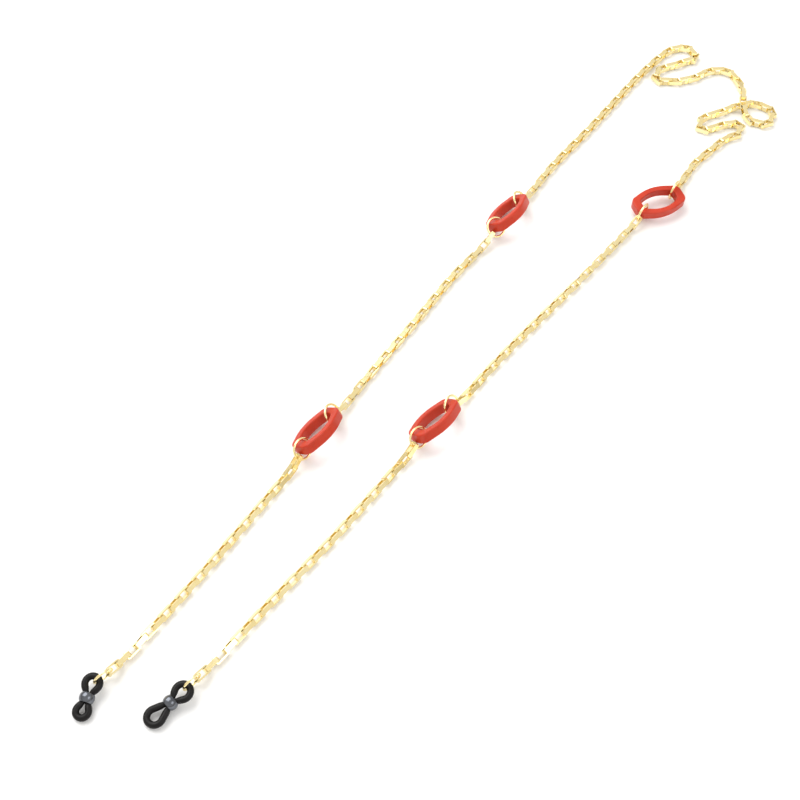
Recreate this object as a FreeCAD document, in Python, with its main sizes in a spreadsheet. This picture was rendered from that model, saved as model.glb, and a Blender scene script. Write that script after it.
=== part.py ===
"""Eyeglasses chain strap: gold box chain, four resin rings and two rubber temple loops.

Units are millimetres and degrees. +Z is up, the chain lies on the plane z = 0 as it is laid out on
a table, the two temple loops point towards -Y and the neck end towards +Y. The origin is the middle
of the bounding box's underside.

A chain link's own frame has X along the chain, Y along its two end bars and Z through its window.
A hoop's own frame has X towards the next piece and Y along its axis.
"""

import FreeCAD, Part

import math
import os

import Sketcher
from FreeCAD import Placement, Rotation, Vector

UP = Vector(0, 0, 1)
NO_TURN = Rotation()
DOC = FreeCAD.newDocument("EyeglassesChain")

# Driving dimensions: alias, value, meaning
DIMENSIONS = [
    ("link_length", 5.4, "outer length of a box-chain link"),
    ("link_width", 2.6, "outer width of a link"),
    ("strip_thickness", 0.45, "thickness of the strip a link is bent from"),
    ("strip_width", 1.5, "width of that strip, the depth of the link"),
    ("link_corner", 0.6, "outer corner radius of a link"),
    ("link_inner", 0.15, "inner corner radius of a link"),
    ("hoop_radius", 3.4, "centreline radius of a jump ring on a resin ring"),
    ("hoop_wire", 0.4, "wire radius of every jump ring"),
    ("end_hoop_radius", 3.0, "centreline radius of the jump ring on a temple loop"),
    ("ring_end", 9.8, "half length of the resin ring, to its two blunt ends"),
    ("ring_end_half", 3.4, "half width of a blunt end before rounding"),
    ("ring_middle_half", 6.9, "half width of the ring at its middle before rounding"),
    ("ring_round", 2.8, "radius of the ring's four end corners"),
    ("ring_side_round", 16.0, "radius of the soft corner in the middle of each long side"),
    ("hole_end", 6.7, "half length of the ring's hole"),
    ("hole_end_half", 2.0, "half width of the hole's blunt ends before rounding"),
    ("hole_middle_half", 4.7, "half width of the hole at its middle before rounding"),
    ("hole_round", 1.7, "radius of the hole's four end corners"),
    ("hole_side_round", 11.0, "radius of the hole's soft corner in the middle of each long side"),
    ("ring_height", 3.6, "thickness of the resin ring along its axis"),
    ("ring_edge", 0.5, "edge rounding of the resin ring"),
    ("cord_radius", 1.05, "radius of the temple loop's rubber cord"),
    ("neck_radius", 1.65, "radius of the two strands pinched together in the bead"),
    ("neck_half_length", 1.9, "half the length over which the strands run side by side"),
    ("strand_offset", 0.3, "half the distance between the strands' centrelines in the neck"),
    ("bead_radius", 2.3, "radius of the slider bead"),
    ("bead_hole", 1.75, "radius of the slider bead's hole"),
    ("bead_half_length", 1.4, "half the length of the bead between its flat ends"),
]


def make_sheet():
    """Writes the driving dimensions into a spreadsheet, one aliased cell each."""
    table = DOC.addObject("Spreadsheet::Sheet", "Sizes")
    for row, (alias, value, meaning) in enumerate(DIMENSIONS, 1):
        table.set(f"A{row}", meaning)
        table.set(f"B{row}", str(value))
        table.setAlias(f"B{row}", alias)
    DOC.recompute()
    return table


SHEET = make_sheet()
SIZE = {alias: float(SHEET.get(alias)) for alias, _, _ in DIMENSIONS}

# Distances worked out from them
BAR = (SIZE["link_length"] - SIZE["strip_thickness"]) / 2  # link centre to an end bar's centre
WIRE_CLEAR = 1.25  # from an end bar's centre to the wire of a jump ring round it
HOOP_REACH = SIZE["hoop_radius"] - WIRE_CLEAR  # from an end bar's centre to the hoop's centre
END_REACH = SIZE["end_hoop_radius"] - WIRE_CLEAR
MOST_ROLL = 6.0  # how far one link may twist against the last
TWISTED_LINKS = 5  # at each end of a stretch, these share its twist
ROLLING_LINKS = 12  # over these a stretch rolls over from its first lie to its last
MOST_TWIST = 27.0  # how far a stretch's end link turns to suit the piece its jump ring hangs on
DROP = 28.0  # how far down a hoop's circle the chain's end bar is
LIFTED = 9.0  # how much of the chain is off the table next to a raised hoop


def unit(vector):
    return Vector(vector).normalize()


def frame(base, along, across):
    """A placement with X along one direction and Y as near to another as a right angle allows."""
    x = unit(along)
    z = unit(x.cross(across))
    return Placement(base, Rotation(x, z.cross(x), z, "XZY"))


def roll_of(placement):
    """The angle of a frame's Y axis round its X axis, from the horizontal."""
    x = placement.Rotation.multVec(Vector(1, 0, 0))
    y = placement.Rotation.multVec(Vector(0, 1, 0))
    level = unit(UP.cross(x))
    return math.degrees(math.atan2(y.dot(x.cross(level)), y.dot(level)))


def to_roll(placement, wanted, most):
    """Turns a frame round its X axis towards a wanted roll, where half a turn makes no difference."""
    error = (wanted - roll_of(placement) + 90) % 180 - 90
    turn = max(-most, min(most, error))
    return placement * Placement(Vector(), Rotation(Vector(1, 0, 0), turn))


# ---------------------------------------------------------------- laying the chain


class Route:
    """A smooth line through hand-chosen points, followed link by link."""

    STEP = 0.1

    def __init__(self, points):
        curve = Part.BSplineCurve()
        curve.interpolate(points)
        self.length = curve.length()
        self.points = curve.discretize(Number=int(self.length / self.STEP))
        self.at = 0

    def ahead(self, start, distance):
        """The first point of the line beyond the last one found that is this far from start."""
        last = len(self.points) - 1
        while self.at < last and (self.points[self.at] - start).Length < distance:
            self.at += 1
        if self.at < last:
            return self.points[self.at]
        # past the line's end: straight on
        end = unit(self.points[-1] - self.points[-3])
        past = (start - self.points[-1]).dot(end)
        aside = start - self.points[-1] - end * past
        return self.points[-1] + end * (past + math.sqrt(max(0, distance**2 - aside.dot(aside))))


def next_link(last, route, wanted_roll, hooked):
    """The link after last: it turns about last's end bar, then about its own.

    The two bars that hook each other are the hooked distance apart.
    """
    bar = last * Placement(Vector(BAR, 0, 0), NO_TURN)
    aim = route.ahead(bar.Base, 2 * BAR - hooked)
    way = unit(bar.Rotation.inverted().multVec(aim - bar.Base))
    pitch = math.degrees(math.atan2(-way.z, way.x))
    yaw = math.degrees(math.asin(way.y))
    link = (
        bar
        * Placement(Vector(), Rotation(Vector(0, 1, 0), pitch))
        * Placement(Vector(-hooked, 0, 0), Rotation(Vector(0, 0, 1), yaw))
        * Placement(Vector(BAR, 0, 0), Rotation(Vector(1, 0, 0), 90))
    )
    return to_roll(link, wanted_roll, MOST_ROLL)


def lay_chain(first, route, rolls, hooked):
    """The frames of a stretch of chain along a route, one link for each wanted roll."""
    route.at = 0
    route.ahead(first * Vector(-BAR, 0, 0), 2 * BAR)
    links = [first]
    for roll in rolls[1:]:
        links.append(next_link(links[-1], route, roll, hooked))
    return links


def wanted_rolls(count, start_roll, roll_over, start_twist, end_twist):
    """Each link lies a quarter turn from the last. A stretch may roll over a little along its first
    links, and its ends are twisted a little."""
    rolls = []
    for n in range(count):
        twist = start_twist * max(0, 1 - n / TWISTED_LINKS)
        twist += end_twist * max(0, 1 - (count - 1 - n) / TWISTED_LINKS)
        rolls.append(start_roll + roll_over * min(1, n / ROLLING_LINKS) + 90 * (n % 2) + twist)
    return rolls


def lying_height(roll):
    """Height of the chain's centreline on the table when its links are rolled this far."""
    wide, deep = SIZE["link_width"] / 2, SIZE["strip_width"] / 2
    across, up = abs(math.cos(math.radians(roll))), abs(math.sin(math.radians(roll)))
    return max(wide * up + deep * across, wide * across + deep * up)


# ---------------------------------------------------------------- shapes


def polygon_sketch(body, name, corners):
    """A closed polygon on the body's XY plane. A corner is (x, y), each a (value, expression) pair."""
    sketch = body.newObject("Sketcher::SketchObject", name)
    plane = [f for f in body.Origin.OriginFeatures if f.Role == "XY_Plane"][0]
    sketch.AttachmentSupport = [(plane, "")]
    sketch.MapMode = "FlatFace"
    points = [Vector(x[0], y[0], 0) for x, y in corners]
    count = len(points)
    for n in range(count):
        sketch.addGeometry(Part.LineSegment(points[n], points[(n + 1) % count]), False)
    for n in range(count):
        sketch.addConstraint(Sketcher.Constraint("Coincident", n, 2, (n + 1) % count, 1))
    for n, (x, y) in enumerate(corners):
        for kind, (value, expression) in (("DistanceX", x), ("DistanceY", y)):
            if value == 0:
                axis = -2 if kind == "DistanceX" else -1
                sketch.addConstraint(Sketcher.Constraint("PointOnObject", n, 1, axis))
            else:
                index = sketch.addConstraint(Sketcher.Constraint(kind, -1, 1, n, 1, value))
                sketch.setExpression(f"Constraints[{index}]", expression)
    return sketch


def rectangle(length, width, inset=None):
    """The corners of a rectangle of two named sizes, brought in by a third one if that is given."""

    def halves(alias):
        value, expression = SIZE[alias] / 2, f"Sizes.{alias} / 2"
        if inset:
            value, expression = value - SIZE[inset], f"{expression} - Sizes.{inset}"
        return (value, expression), (-value, f"-({expression})")

    (right, left), (top, bottom) = halves(length), halves(width)
    return [(right, bottom), (right, top), (left, top), (left, bottom)]


def hexagon(end, end_half, middle_half):
    """The corners of a long hexagon with blunt ends across X and a corner in each long side."""
    plus = {a: (SIZE[a], f"Sizes.{a}") for a in (end, end_half, middle_half)}
    minus = {a: (-SIZE[a], f"-Sizes.{a}") for a in (end, end_half, middle_half)}
    middle = (0, "")
    return [
        (plus[end], plus[end_half]),
        (middle, plus[middle_half]),
        (minus[end], plus[end_half]),
        (minus[end], minus[end_half]),
        (middle, minus[middle_half]),
        (plus[end], minus[end_half]),
    ]


def upright_edges(shape, corners):
    """Names of the straight edges along Z that stand at these corners."""
    names = []
    for n, edge in enumerate(shape.Edges, 1):
        a, b = edge.Vertexes[0].Point, edge.Vertexes[-1].Point
        if abs(a.z - b.z) > 0.5 * shape.BoundBox.ZLength and math.hypot(a.x - b.x, a.y - b.y) < 1e-6:
            if any(math.hypot(a.x - x, a.y - y) < 1e-3 for x, y in corners):
                names.append(f"Edge{n}")
    return names


def rim_edges(shape):
    """Names of the edges that bound the two faces across Z."""
    low, high = shape.BoundBox.ZMin, shape.BoundBox.ZMax
    return [
        f"Edge{n}"
        for n, edge in enumerate(shape.Edges, 1)
        if any(all(abs(v.Z - z) < 1e-6 for v in edge.Vertexes) for z in (low, high))
    ]


def fillet(body, name, base, edges, radius):
    feature = body.newObject("PartDesign::Fillet", name)
    feature.Base = (base, edges)
    feature.setExpression("Radius", f"Sizes.{radius}")
    DOC.recompute()
    return feature


def round_corners(body, name, base, outline, corner_round, side_round):
    """Rounds an outline's upright edges. Those in the middle of a side have their own radius."""
    corners = [(x[0], y[0]) for x, y in outline]
    last = base
    for part, radius, group in (
        ("ends", corner_round, [c for c in corners if c[0]]),
        ("sides", side_round, [c for c in corners if not c[0]]),
    ):
        if group:
            edges = upright_edges(last.Shape, group)
            if len(edges) != len(group):
                raise ValueError(f"{name}: {len(edges)} edges at {len(group)} corners")
            last = fillet(body, f"{name}_{part}", last, edges, radius)
    return last


def band(name, outline, hole, height, rounds, hole_rounds, edge=None):
    """A closed flat band about Z: an extruded outline with a hole, the corners of both rounded."""
    body = DOC.addObject("PartDesign::Body", name)
    pad = body.newObject("PartDesign::Pad", f"{name}_pad")
    pad.Profile = polygon_sketch(body, f"{name}_outline", outline)
    pad.Midplane = True
    pad.setExpression("Length", f"Sizes.{height}")
    DOC.recompute()
    round_corners(body, f"{name}_round", pad, outline, *rounds)
    pocket = body.newObject("PartDesign::Pocket", f"{name}_hole")
    pocket.Profile = polygon_sketch(body, f"{name}_hole_outline", hole)
    pocket.Type = "ThroughAll"
    pocket.Midplane = True
    DOC.recompute()
    last = round_corners(body, f"{name}_hole_round", pocket, hole, *hole_rounds)
    if edge:
        fillet(body, f"{name}_edges", last, rim_edges(last.Shape), edge)
    return body


def hoop_shape(name, placement, radius):
    """A closed jump ring of round wire. A torus turns about Z, so its axis is laid along Y."""
    hoop = DOC.addObject("Part::Torus", name)
    hoop.setExpression("Radius1", f"Sizes.{radius}")
    hoop.setExpression("Radius2", "Sizes.hoop_wire")
    hoop.Placement = placement * Placement(Vector(), Rotation(Vector(1, 0, 0), 90))
    return hoop


def bead_shape(name, placement):
    """A ball with flat ends and a hole along X for the two strands."""
    ball = DOC.addObject("Part::Sphere", f"{name}_ball")
    ball.setExpression("Radius", "Sizes.bead_radius")
    ball.Placement.Rotation = Rotation(Vector(0, 1, 0), 90)  # its poles fall to the flat ends
    ends = DOC.addObject("Part::Cylinder", f"{name}_ends")
    ends.setExpression("Radius", "Sizes.bead_radius")
    ends.setExpression("Height", "2 * Sizes.bead_half_length")
    ends.setExpression("Placement.Base.x", "-Sizes.bead_half_length")
    ends.Placement.Rotation = Rotation(Vector(0, 1, 0), 90)
    hole = DOC.addObject("Part::Cylinder", f"{name}_hole")
    hole.setExpression("Radius", "Sizes.bead_hole")
    hole.setExpression("Height", "4 * Sizes.bead_radius")
    hole.setExpression("Placement.Base.x", "-2 * Sizes.bead_radius")
    hole.Placement.Rotation = Rotation(Vector(0, 1, 0), 90)
    blank = DOC.addObject("Part::Common", f"{name}_blank")
    blank.Base, blank.Tool = ball, ends
    bead = DOC.addObject("Part::Cut", name)
    bead.Base, bead.Tool = blank, hole
    bead.Placement = placement
    return bead


def eye_solids(side, centre, radius):
    """One eye of a rubber loop: two strands from the neck, and the arc that joins them."""
    cord, offset, start = SIZE["cord_radius"], SIZE["strand_offset"], SIZE["neck_half_length"]
    middle = Vector(side * centre, 0, 0)
    reach = centre - start
    gap = math.hypot(reach, offset)
    # the straight strand leaves (start, offset) and meets the arc as its tangent
    way = math.atan2(-offset, reach) + math.asin(radius / gap)
    length = math.sqrt(gap**2 - radius**2)
    contact = Vector(start + length * math.cos(way), offset + length * math.sin(way), 0)
    opening = math.degrees(math.atan2(contact.y, contact.x - centre))
    arc = Part.makeTorus(radius, cord, middle, UP, -180, 180, 2 * opening)
    arc.rotate(middle, UP, -opening if side > 0 else 180 - opening)
    solids = [arc]
    for across in (1, -1):
        a = Vector(side * start, across * offset, 0)
        b = Vector(side * contact.x, across * contact.y, 0)
        solids.append(Part.makeCylinder(cord, (b - a).Length, a, b - a))
        solids.append(Part.makeSphere(cord, a))
    return solids


def rubber_shape(name, placement, far_eye, near_eye):
    """A rubber cord loop pinched into two eyes. An eye is (distance of its centre, its radius)."""
    neck_length = 2 * SIZE["neck_half_length"]
    neck = Part.makeCylinder(
        SIZE["neck_radius"], neck_length, Vector(-neck_length / 2, 0, 0), Vector(1, 0, 0)
    )
    shape = neck.multiFuse(eye_solids(-1, *far_eye) + eye_solids(1, *near_eye)).removeSplitter()
    rubber = DOC.addObject("Part::Feature", name)
    rubber.Shape = shape.Solids[0]
    rubber.Placement = placement
    return rubber


# ---------------------------------------------------------------- where things lie


WALL_IN_HOOP = 1.8  # from the hole's end to the centre of a hoop round the ring's end
CORNER_SPOT = (7.9, 2.74, 0.5)  # middle of a hoop round the ring's wall at a corner
CORNER_WAY = 33.0  # direction in which that corner points

# A ring's two hoops hang at these places of its own frame, each a frame with X outwards and Y along
# the wall. The first kind is at the two blunt ends, the second at two opposite corners.
END_HOOKS = {
    side: Placement(
        Vector(side * (SIZE["hole_end"] + WALL_IN_HOOP), 0, -0.3),
        Rotation(Vector(0, 0, 1), 0 if side > 0 else 180),
    )
    for side in (-1, 1)
}
CORNER_HOOKS = {
    side: Placement(
        Vector(side * CORNER_SPOT[0], side * CORNER_SPOT[1], CORNER_SPOT[2]),
        Rotation(Vector(0, 0, 1), CORNER_WAY + (0 if side > 0 else 180)),
    )
    for side in (-1, 1)
}

LEAN = 34.0  # how far the three leaning rings tip about their long axis
RINGS = {
    # name: (x, y of the centre, rotation, hooks, gap that its hoops keep under it)
    "front_left": (-48.4, -43.0, Rotation(57, 3, -LEAN), END_HOOKS, 0.0),
    "back_left": (17.2, 53.1, Rotation(56, 3, -LEAN), END_HOOKS, 0.0),
    "back_right": (72.4, 59.5, Rotation(22, 0, 5), CORNER_HOOKS, 1.2),
    "front_right": (-10.6, -39.1, Rotation(50, 2, -LEAN), END_HOOKS, 0.0),
}

# The lay of each stretch between its two end pieces: hand-chosen points, (x, y) on the table or
# (x, y, z) where a strand climbs over another.
LAYS = {
    "front_left": [(-99, -117.3), (-86, -99), (-68.4, -73.4)],
    "middle_left": [(-33.7, -20.2), (-16.3, 5.7), (0.9, 31.1)],
    "neck": [
        (33.4, 77.4),
        (48.2, 97),
        (63.6, 118),
        (76, 134.5),
        (84.5, 144),
        (91, 148),
        (96.6, 146),
        (97, 141),
        (91.5, 138),
        (84, 135.5),
        (79, 132),
        (80, 127.5),
        (86, 126.8),
        (93, 128.5),
        (99, 132),
        (105, 134.6),
        (110, 132.5),
        (112.2, 127.8),
        (112.2, 120.8, 2.8),
        (111.3, 114.4, 5.1),
        (111.2, 108.8, 2.3),
        (113, 104.6, 1.3),
        (118.0, 102.4),
        (122.6, 105.9),
        (122.4, 111.5),
        (117.6, 114.8),
        (111.2, 114.2),
        (105.2, 111.4),
        (99.5, 108.5),
        (94, 105.5),
        (92.5, 101.5),
        (96.5, 99.3),
        (101.5, 101.7),
        (106, 104),
        (110, 101.5),
        (108, 97),
        (103, 95.5),
        (98.5, 91.5),
        (92.5, 85.5),
        (87, 79),
    ],
    "middle_right": [(49.2, 33.4), (26.8, 7), (5, -19.7)],
    "front_right": [(-29.7, -64), (-45.2, -84.3), (-61.1, -103.7)],
}
# How many links each node of a stretch holds, from the left temple loop round to the right one,
# how the stretch's first link is rolled, from flat (0) to upright (90), and how far the stretch
# rolls over on its way
SEGMENTS = {
    "front_left": ([5, 5, 5, 5, 4], 45, 0),
    "middle_left": ([5, 5, 5, 5, 5], 90, 0),
    "neck": ([5, 5, 5, 5, 4, 4, 4, 4, 4, 4, 4, 4, 4, 4, 4, 4, 4, 4, 4, 4], 90, 0),
    "middle_right": ([6, 6, 6, 5, 5], 0, -45),
    "front_right": ([5, 5, 5, 5, 6], 45, 0),
}

# Temple loops: bead position, yaw of the loop's axis towards the chain, the far and the near eye as
# (distance of the eye's centre from the bead, its radius), where on the near eye its hoop hangs
LOOPS = {
    "left": (-111.3, -134.0, 74.0, (3.95, 1.89), (4.3, 2.18), -38.0),
    "right": (-87.4, -135.5, 43.0, (5.75, 2.4), (4.5, 2.35), 5.0),
}
CORD_IN_HOOP = 1.4  # from the cord's centre to the centre of the hoop round it


def loop_rotation(side):
    """A loop rests on its bead and on the tip of its far eye."""
    _, _, yaw, far_eye, _, _ = LOOPS[side]
    tilt = math.degrees(math.asin((SIZE["bead_radius"] - SIZE["cord_radius"]) / sum(far_eye)))
    return Rotation(yaw, -tilt, 0)


def loop_hook(side):
    """The hoop's place in the loop's frame, X outwards and Y along the cord."""
    _, _, _, _, (centre, radius), angle = LOOPS[side]
    turn = Rotation(UP, angle)
    return Placement(Vector(centre, 0, 0) + turn.multVec(Vector(radius + CORD_IN_HOOP, 0, 0)), turn)


def same_side(direction, like):
    return direction if direction.dot(like) > 0 else -direction


def lift_points(end, towards):
    """Points that keep the chain on the table up to a short way from a raised end."""
    flat = unit(Vector(towards.x - end.x, towards.y - end.y, 0))
    down = Vector(end.x, end.y, towards.z)
    knee = down + flat * LIFTED * 0.45 + UP * (end.z - towards.z) * 0.3
    return knee, down + flat * LIFTED, down + flat * LIFTED * 1.5


def off_the_hoop(hook, after):
    """From a hoop's centre towards its chain: some way down the hoop's circle and halfway between
    straight outwards and the chain's next point."""
    ways = [hook.Rotation * Rotation(Vector(0, 1, 0), angle) for angle in (-DROP, DROP)]
    down = min((way.multVec(Vector(1, 0, 0)) for way in ways), key=lambda way: way.z)
    chain = after - hook.Base
    chain = unit(Vector(chain.x, chain.y, 0)) * math.hypot(down.x, down.y)
    return unit(down + Vector(chain.x, chain.y, down.z))


def line_between(leaving, leaving_reach, hook, reach, lay, height):
    """The line of a stretch: off the last hoop, over the table, up to the next hoop."""
    middle = [Vector(*p) if len(p) == 3 else Vector(*p, height) for p in lay]
    ends = []
    for spot, length, after in ((leaving, leaving_reach, middle[0]), (hook, reach, middle[-1])):
        end = spot.Base + off_the_hoop(spot, after) * length
        ends.append([end, *lift_points(end, after)])
    return Route(ends[0] + middle + ends[1][::-1])


def twist_towards(base_roll, along, wall):
    """How far an end link rolls towards the direction of the wall that its hoop goes round."""
    wall_roll = roll_of(frame(Vector(), along, wall))
    error = (wall_roll - base_roll + 90) % 180 - 90
    return max(-MOST_TWIST, min(MOST_TWIST, error))


def hoop_at(centre, away, link_axis, wall):
    """A hoop whose axis is about halfway between the link's end bar and the wall it goes round."""
    return frame(centre, away, unit(link_axis * 1.2 + same_side(wall, link_axis)))


def lay_stretch(name, leaving, leaving_reach, hook, reach):
    """The first hoop, the links and the far hoop of a stretch, drawn just taut along its line."""
    counts, base_roll, roll_over = SEGMENTS[name]
    count = sum(counts)
    height = lying_height(base_roll + roll_over)
    route = line_between(leaving, leaving_reach, hook, reach, LAYS[name], height)
    walls = [spot.Rotation.multVec(Vector(0, 1, 0)) for spot in (leaving, hook)]
    bar = route.points[0]
    aim = route.ahead(bar, 2 * BAR)
    along = route.points[-1] - route.points[-60]
    start_twist = twist_towards(base_roll, aim - bar, walls[0])
    end_roll = base_roll + roll_over + 90 * ((count - 1) % 2)
    end_twist = twist_towards(end_roll, along, walls[1])
    rolls = wanted_rolls(count, base_roll, roll_over, start_twist, end_twist)
    first = frame(bar, aim - bar, UP.cross(aim - bar)) * Placement(Vector(BAR, 0, 0), NO_TURN)
    first = to_roll(first, rolls[0], 180)
    near = hoop_at(
        leaving.Base, bar - leaving.Base, first.Rotation.multVec(Vector(0, 1, 0)), walls[0]
    )
    # the links share the line's slack evenly
    pitch = (route.length - 2 * BAR) / (count - 1)
    for _ in range(4):
        links = lay_chain(first, route, rolls, 2 * BAR - pitch)
        end = links[-1] * Vector(BAR, 0, 0)
        pitch += (route.points[-1] - end).dot(unit(along)) / (count - 1)
    way = unit(hook.Base - route.points[-1])
    far = hoop_at(end + way * reach, way, links[-1].Rotation.multVec(Vector(0, 1, 0)), walls[1])
    return near, links, far, 2 * BAR - pitch


def ring_height(rotation, gap):
    """How high a resin ring's centre is when its lowest point is this far above the table."""
    turned = MASTER_RING.Shape.copy()
    turned.Placement = Placement(Vector(), rotation)
    return gap - turned.optimalBoundingBox().ZMin


ORDER = [
    # stretch, the ring it runs up to, the hook of that ring it takes
    ("front_left", "front_left", -1),
    ("middle_left", "back_left", -1),
    ("neck", "back_right", 1),
    ("middle_right", "front_right", 1),
    ("front_right", None, 1),
]
HOOK_NAMES = {-1: "near", 1: "far"}  # as seen from the temple loops


def lay_out():
    """Places every piece, from the left temple loop round the neck to the right one."""
    spots, chains, hooked = {}, {}, {}
    x, y = LOOPS["left"][:2]
    spots["rubber_loop_left"] = Placement(Vector(x, y, SIZE["bead_radius"]), loop_rotation("left"))
    leaving = spots["rubber_loop_left"] * loop_hook("left")
    near_name, leaving_reach = "end_ring_left", END_REACH
    for name, ring, side in ORDER:
        if ring:
            x, y, rotation, hooks, gap = RINGS[ring]
            piece, own_hook = f"resin_ring_{ring}", hooks[side]
            place = Placement(Vector(x, y, ring_height(rotation, gap)), rotation)
            far_name = f"jump_ring_{ring}_{HOOK_NAMES[side]}"
        else:
            x, y = LOOPS["right"][:2]
            piece, own_hook = "rubber_loop_right", loop_hook("right")
            place = Placement(Vector(x, y, SIZE["bead_radius"]), loop_rotation("right"))
            far_name = "end_ring_right"
        reach = HOOP_REACH if ring else END_REACH
        near, links, far, gap = lay_stretch(name, leaving, leaving_reach, place * own_hook, reach)
        spots[near_name], chains[name], spots[far_name], hooked[name] = near, links, far, gap
        place.Base += far.Base - (place * own_hook).Base
        spots[piece] = place
        if ring:
            leaving, leaving_reach = place * hooks[-side], HOOP_REACH
            near_name = f"jump_ring_{ring}_{HOOK_NAMES[-side]}"
    return spots, chains, hooked


# ---------------------------------------------------------------- the pieces


def ring_shape(name):
    """A resin ring: a long hexagon with rounded corners and edges round a like hole."""
    outline = hexagon("ring_end", "ring_end_half", "ring_middle_half")
    hole = hexagon("hole_end", "hole_end_half", "hole_middle_half")
    rounds, hole_rounds = ("ring_round", "ring_side_round"), ("hole_round", "hole_side_round")
    return band(name, outline, hole, "ring_height", rounds, hole_rounds, "ring_edge")


def link_shape(name):
    """A box-chain link: a strip bent to a closed rectangle, its ends meeting without a gap."""
    outline = rectangle("link_length", "link_width")
    hole = rectangle("link_length", "link_width", "strip_thickness")
    return band(name, outline, hole, "strip_width", ("link_corner", None), ("link_inner", None))


def links_shape(name, master, placements):
    """A short run of chain: separate links, each one a copy of the master link."""
    links = []
    for n, placement in enumerate(placements, 1):
        link = DOC.addObject("App::Link", f"{name}_link_{n}")
        link.LinkedObject = master
        link.LinkPlacement = placement
        links.append(link)
    run = DOC.addObject("Part::Compound", name)
    run.Links = links
    return run


def node_names(stretch):
    return [f"chain_{stretch}_{n}" for n in range(1, len(SEGMENTS[stretch][0]) + 1)]


def runs_of(stretch, links):
    """The stretch's links, shared out over its nodes."""
    at = 0
    for name, count in zip(node_names(stretch), SEGMENTS[stretch][0]):
        yield name, links[at : at + count]
        at += count


def make_pieces(spots, chains):
    """Every piece of the part, by name."""
    pieces = {}
    master = link_shape("link")
    for stretch, links in chains.items():
        for name, run in runs_of(stretch, links):
            pieces[name] = links_shape(name, master, run)
    for name, place in spots.items():
        side = name.split("_")[-1]
        if name.startswith("resin_ring"):
            pieces[name] = ring_shape(name)
            pieces[name].Placement = place
        elif name.startswith("jump_ring"):
            pieces[name] = hoop_shape(name, place, "hoop_radius")
        elif name.startswith("end_ring"):
            pieces[name] = hoop_shape(name, place, "end_hoop_radius")
        else:
            pieces[name] = rubber_shape(name, place, *LOOPS[side][3:5])
            pieces[f"bead_{side}"] = bead_shape(f"bead_{side}", place)
    DOC.recompute()
    return pieces


def centre(pieces):
    """Moves every piece so that the origin is the middle of the bounding box's underside."""
    box = FreeCAD.BoundBox()
    for piece in pieces.values():
        box.add(piece.Shape.optimalBoundingBox(False))
    shift = Vector(-box.Center.x, -box.Center.y, -box.ZMin)
    for piece in pieces.values():
        piece.Placement = Placement(shift, NO_TURN) * piece.Placement
    DOC.recompute()
    return shift


def check(pieces):
    for item in DOC.Objects:
        if "Invalid" in item.State or "Error" in item.State:
            raise ValueError(f"{item.Label}: {item.State}")
    for name, piece in pieces.items():
        if piece.Shape.isNull() or not piece.Shape.isValid():
            raise ValueError(f"{name}: no valid shape")


MASTER_RING = ring_shape("ring_at_origin")
SPOTS, CHAINS, HOOKED = lay_out()
PIECES = make_pieces(SPOTS, CHAINS)
SHIFT = centre(PIECES)
check(PIECES)

os.makedirs("parts", exist_ok=True)
for NAME, PIECE in PIECES.items():
    PIECE.Label = NAME
    PIECE.Shape.exportStep(f"parts/{NAME}.step")
print(f"{len(PIECES)} pieces, moved by {SHIFT}")
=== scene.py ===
import math

import bpy
from mathutils import Matrix, Quaternion, Vector


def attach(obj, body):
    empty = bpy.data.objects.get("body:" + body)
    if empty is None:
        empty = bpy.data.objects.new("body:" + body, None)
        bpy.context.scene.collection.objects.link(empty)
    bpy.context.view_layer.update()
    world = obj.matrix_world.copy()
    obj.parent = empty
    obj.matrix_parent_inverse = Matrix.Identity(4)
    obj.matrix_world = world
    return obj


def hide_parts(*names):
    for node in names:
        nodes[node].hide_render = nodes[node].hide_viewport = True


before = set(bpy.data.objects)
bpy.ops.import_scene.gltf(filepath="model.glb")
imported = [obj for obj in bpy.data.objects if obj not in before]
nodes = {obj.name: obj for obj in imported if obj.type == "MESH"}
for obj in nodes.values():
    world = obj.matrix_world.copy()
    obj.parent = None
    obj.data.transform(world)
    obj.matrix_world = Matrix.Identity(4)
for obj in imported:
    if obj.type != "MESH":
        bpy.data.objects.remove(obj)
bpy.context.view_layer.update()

MM = 0.001
WORN = 0.07 * MM  # rounding of a chain link's edges
RAMP_ENDS = (0.3, 0.7)  # the part of a noise texture's values that a colour ramp spreads

# ---------------------------------------------------------------- materials


def new_material(name):
    material = bpy.data.materials.new(name)
    material.use_nodes = True
    tree = material.node_tree
    return material, tree, tree.nodes["Principled BSDF"]


def noise(tree, scale, detail=3.0):
    """A noise texture that follows each piece's own shape."""
    place = tree.nodes.new("ShaderNodeTexCoord")
    texture = tree.nodes.new("ShaderNodeTexNoise")
    texture.inputs["Scale"].default_value = scale
    texture.inputs["Detail"].default_value = detail
    texture.inputs["Roughness"].default_value = 0.5
    tree.links.new(place.outputs["Object"], texture.inputs["Vector"])
    return texture


def ramp(tree, source, target, low, high):
    """Spreads a texture's middle values over two colours or greys."""
    node = tree.nodes.new("ShaderNodeValToRGB")
    for element, position, colour in zip(node.color_ramp.elements, RAMP_ENDS, (low, high)):
        element.position, element.color = position, colour
    tree.links.new(source.outputs["Fac"], node.inputs["Fac"])
    tree.links.new(node.outputs["Color"], target)


def grey(value):
    return (value, value, value, 1.0)


def bump(tree, shader, source, strength, distance):
    node = tree.nodes.new("ShaderNodeBump")
    node.inputs["Strength"].default_value = strength
    node.inputs["Distance"].default_value = distance
    tree.links.new(source.outputs["Fac"], node.inputs["Height"])
    tree.links.new(node.outputs["Normal"], shader.inputs["Normal"])


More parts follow.
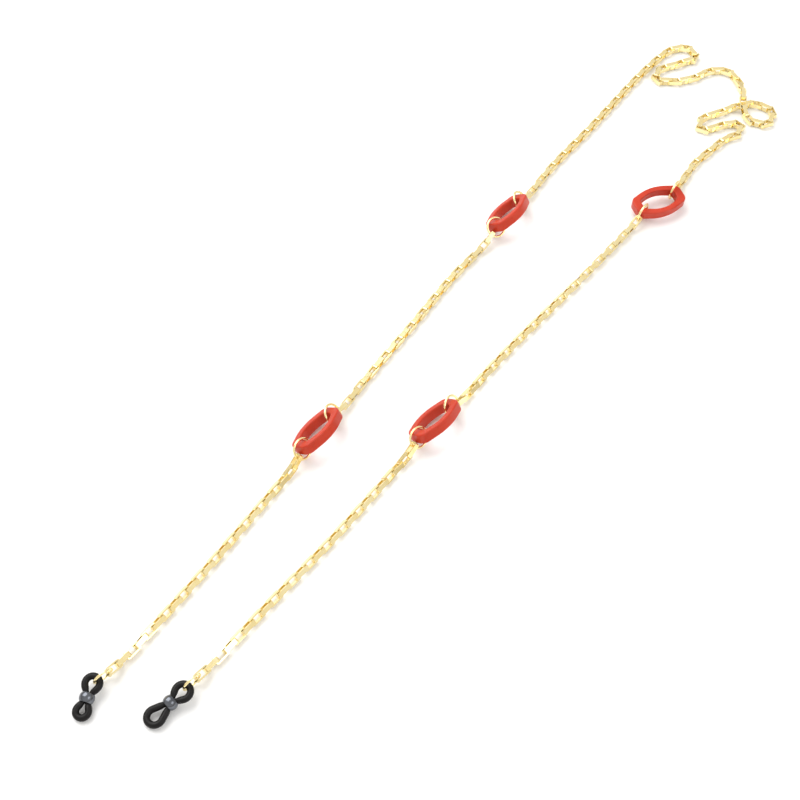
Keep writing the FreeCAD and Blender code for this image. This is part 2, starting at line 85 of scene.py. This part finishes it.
def gold_material():
    material, tree, shader = new_material("gold")
    shader.inputs["Metallic"].default_value = 1.0
    ramp(
        tree,
        noise(tree, 260.0),
        shader.inputs["Base Color"],
        (0.96, 0.77, 0.36, 1),
        (0.99, 0.86, 0.50, 1),
    )
    ramp(tree, noise(tree, 900.0), shader.inputs["Roughness"], grey(0.12), grey(0.22))
    bump(tree, shader, noise(tree, 1500.0), 0.15, 0.02 * MM)
    return material


def resin_material():
    material, tree, shader = new_material("resin")
    ramp(
        tree,
        noise(tree, 90.0, 4.0),
        shader.inputs["Base Color"],
        (0.46, 0.032, 0.012, 1),
        (0.57, 0.054, 0.024, 1),
    )
    ramp(tree, noise(tree, 400.0), shader.inputs["Roughness"], grey(0.3), grey(0.42))
    shader.inputs["Subsurface Weight"].default_value = 0.2
    shader.inputs["Subsurface Radius"].default_value = (1.0, 0.12, 0.06)
    shader.inputs["Subsurface Scale"].default_value = 1.0 * MM
    shader.inputs["Coat Weight"].default_value = 0.1
    shader.inputs["Specular IOR Level"].default_value = 0.22
    shader.inputs["Coat Roughness"].default_value = 0.15
    bump(tree, shader, noise(tree, 250.0), 0.1, 0.05 * MM)
    return material


def rubber_material():
    material, tree, shader = new_material("rubber")
    ramp(
        tree,
        noise(tree, 500.0),
        shader.inputs["Base Color"],
        (0.003, 0.0025, 0.0025, 1),
        (0.007, 0.006, 0.006, 1),
    )
    ramp(tree, noise(tree, 900.0), shader.inputs["Roughness"], grey(0.36), grey(0.48))
    shader.inputs["Specular IOR Level"].default_value = 0.22
    bump(tree, shader, noise(tree, 1800.0), 0.2, 0.03 * MM)
    return material


def bead_material():
    material, tree, shader = new_material("bead")
    shader.inputs["Metallic"].default_value = 1.0
    ramp(
        tree,
        noise(tree, 400.0),
        shader.inputs["Base Color"],
        (0.10, 0.105, 0.12, 1),
        (0.17, 0.18, 0.20, 1),
    )
    ramp(tree, noise(tree, 900.0), shader.inputs["Roughness"], grey(0.16), grey(0.26))
    bump(tree, shader, noise(tree, 700.0), 0.1, 0.02 * MM)
    return material


GOLD, RESIN, RUBBER, BEAD = gold_material(), resin_material(), rubber_material(), bead_material()


def dress(thing, material):
    thing.data.materials.clear()
    thing.data.materials.append(material)


for name, node in nodes.items():
    if name.startswith("chain"):
        dress(node, GOLD)
        edge = node.modifiers.new("worn edges", "BEVEL")
        edge.width = WORN
        edge.segments = 2
        edge.limit_method = "ANGLE"
        edge.angle_limit = math.radians(40)
        edge.harden_normals = True
    elif name.startswith(("jump", "end")):
        dress(node, GOLD)
    elif name.startswith("resin"):
        dress(node, RESIN)
    elif name.startswith("bead"):
        dress(node, BEAD)
    else:
        dress(node, RUBBER)


# ---------------------------------------------------------------- rubber loops

CORD = 1.05  # radius of the free cord
PINCHED = 0.82  # its radius where both strands pass through the bead
BEAD_END = 1.4  # half the bead's length
GIVE = 1.6  # over this distance it swells back, from just inside the bead's end
INSIDE = 0.2  # how far inside that is
AROUND = 28  # points round the cord
ALONG = 320  # points along a loop
PASSES = 6  # of smoothing


def eye_path(side, centre, radius):
    """Half of the loop's centreline, from the middle of the bead round one eye and back.

    A straight strand leaves the bead's end and meets the eye's arc as its tangent."""
    reach = centre - BEAD_END
    gap = math.hypot(reach, PINCHED)
    way = math.atan2(-PINCHED, reach) + math.asin(radius / gap)
    length = math.sqrt(gap**2 - radius**2)
    contact = (BEAD_END + length * math.cos(way), PINCHED + length * math.sin(way))
    opening = math.atan2(contact[1], contact[0] - centre)
    half = [(BEAD_END * n / 4, PINCHED) for n in range(4)]
    for n in range(8):
        t = n / 8
        half.append((BEAD_END + t * (contact[0] - BEAD_END), PINCHED + t * (contact[1] - PINCHED)))
    turn = [opening * (1 - n / 24) for n in range(24)]
    half += [(centre + radius * math.cos(a), radius * math.sin(a)) for a in turn]
    tip = [(centre + radius, 0.0)]
    path = half + tip + [(x, -y) for x, y in reversed(half)]
    return [(side * x, side * y) for x, y in path]


def smoothed(path):
    for _ in range(PASSES):
        ends = zip(path[-1:] + path[:-1], path, path[1:] + path[:1])
        path = [tuple((a[i] + 2 * b[i] + c[i]) / 4 for i in (0, 1)) for a, b, c in ends]
    return path


def evenly(path):
    """The closed path again as equally spaced points."""
    spans = [math.dist(path[n], path[(n + 1) % len(path)]) for n in range(len(path))]
    step, points, n, passed = sum(spans) / ALONG, [], 0, 0.0
    for k in range(ALONG):
        while passed + spans[n] < k * step:
            passed += spans[n]
            n += 1
        t = (k * step - passed) / max(spans[n], 1e-9)
        a, b = path[n], path[(n + 1) % len(path)]
        points.append((a[0] + t * (b[0] - a[0]), a[1] + t * (b[1] - a[1])))
    return points


def cord_radius(x):
    t = min(1.0, max(0.0, (abs(x) - BEAD_END + INSIDE) / GIVE))
    return PINCHED + (CORD - PINCHED) * t * t * (3 - 2 * t)


def rubber_loop(side, place, turn, far_eye, near_eye):
    """One closed loop of round cord, pinched into two eyes by its bead."""
    path = smoothed(evenly(eye_path(1, *near_eye) + eye_path(-1, *far_eye)))
    spot = Matrix.Translation(Vector(place)) @ Quaternion(turn).to_matrix().to_4x4()
    verts, faces = [], []
    for n, (x, y) in enumerate(path):
        before, after = path[n - 1], path[(n + 1) % len(path)]
        along = Vector((after[0] - before[0], after[1] - before[1], 0)).normalized()
        across = Vector((-along.y, along.x, 0))
        radius = cord_radius(x)
        for k in range(AROUND):
            a = 2 * math.pi * k / AROUND
            spread = across * (radius * math.cos(a)) + Vector((0, 0, radius * math.sin(a)))
            verts.append((spot @ (Vector((x, y, 0)) + spread)) * MM)
    for n in range(len(path)):
        m = (n + 1) % len(path)
        for k in range(AROUND):
            j = (k + 1) % AROUND
            faces.append((n * AROUND + k, n * AROUND + j, m * AROUND + j, m * AROUND + k))
    mesh = bpy.data.meshes.new(f"cord_{side}")
    mesh.from_pydata(verts, [], faces)
    mesh.shade_smooth()
    cord = bpy.data.objects.new(f"cord_{side}", mesh)
    bpy.context.scene.collection.objects.link(cord)
    dress(cord, RUBBER)
    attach(cord, f"rubber_loop_{side}")
    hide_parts(f"rubber_loop_{side}")


# place in mm, turn as a quaternion, then each eye as its centre's distance and its radius
rubber_loop(
    "left",
    (-115.6146, -137.1354, 2.5581),
    (0.793995, 0.064783, -0.08597, 0.598318),
    (3.95, 1.89),
    (4.3, 2.18),
)
rubber_loop(
    "right",
    (-91.6519, -138.6478, 2.6847),
    (0.927661, 0.028189, -0.071563, 0.365416),
    (5.75, 2.4),
    (4.5, 2.35),
)


# ---------------------------------------------------------------- stage

bpy.ops.mesh.primitive_plane_add(size=6.0, location=(0, 0, 0))
floor = bpy.context.object
floor.name = "floor"
material, tree, shader = new_material("floor")
ramp(
    tree,
    noise(tree, 3.0),
    shader.inputs["Base Color"],
    (0.90, 0.90, 0.90, 1),
    (0.92, 0.92, 0.92, 1),
)
shader.inputs["Roughness"].default_value = 0.8
shader.inputs["Specular IOR Level"].default_value = 0.2
dress(floor, material)

world = bpy.data.worlds.new("studio")
bpy.context.scene.world = world
world.use_nodes = True
sky, tree = world.node_tree.nodes["Background"], world.node_tree
way = tree.nodes.new("ShaderNodeTexCoord")
parts = tree.nodes.new("ShaderNodeSeparateXYZ")
shade = tree.nodes.new("ShaderNodeValToRGB")
horizon, above = shade.color_ramp.elements
horizon.position, horizon.color = 0.0, (0.62, 0.56, 0.46, 1)
above.position, above.color = 0.35, (1.0, 0.99, 0.97, 1)
tree.links.new(way.outputs["Generated"], parts.inputs["Vector"])
tree.links.new(parts.outputs["Z"], shade.inputs["Fac"])
tree.links.new(shade.outputs["Color"], sky.inputs["Color"])
sky.inputs["Strength"].default_value = 0.9


def softbox(name, place, size, power):
    """A rectangular light that points at the origin."""
    light = bpy.data.lights.new(name, "AREA")
    light.shape = "RECTANGLE"
    light.size, light.size_y = size
    light.energy = power
    lamp = bpy.data.objects.new(name, light)
    bpy.context.scene.collection.objects.link(lamp)
    lamp.location = place
    lamp.rotation_euler = (-Vector(place)).to_track_quat("-Z", "Y").to_euler()


softbox("key", (-0.6, 0.55, 1.1), (1.2, 1.2), 15.0)
softbox("fill", (0.8, -0.5, 1.0), (0.8, 0.6), 3.5)

camera = bpy.data.cameras.new("camera")
camera.lens = 63.0
camera.sensor_width = 36.0
camera.clip_start = 0.01
eye = bpy.data.objects.new("camera", camera)
bpy.context.scene.collection.objects.link(eye)
eye.location = (-26.315 * MM, -303.135 * MM, 375.66 * MM)
eye.rotation_euler = (math.radians(36.0), 0.0, 0.0)
bpy.context.scene.camera = eye
bpy.context.scene.view_settings.view_transform = "Standard"
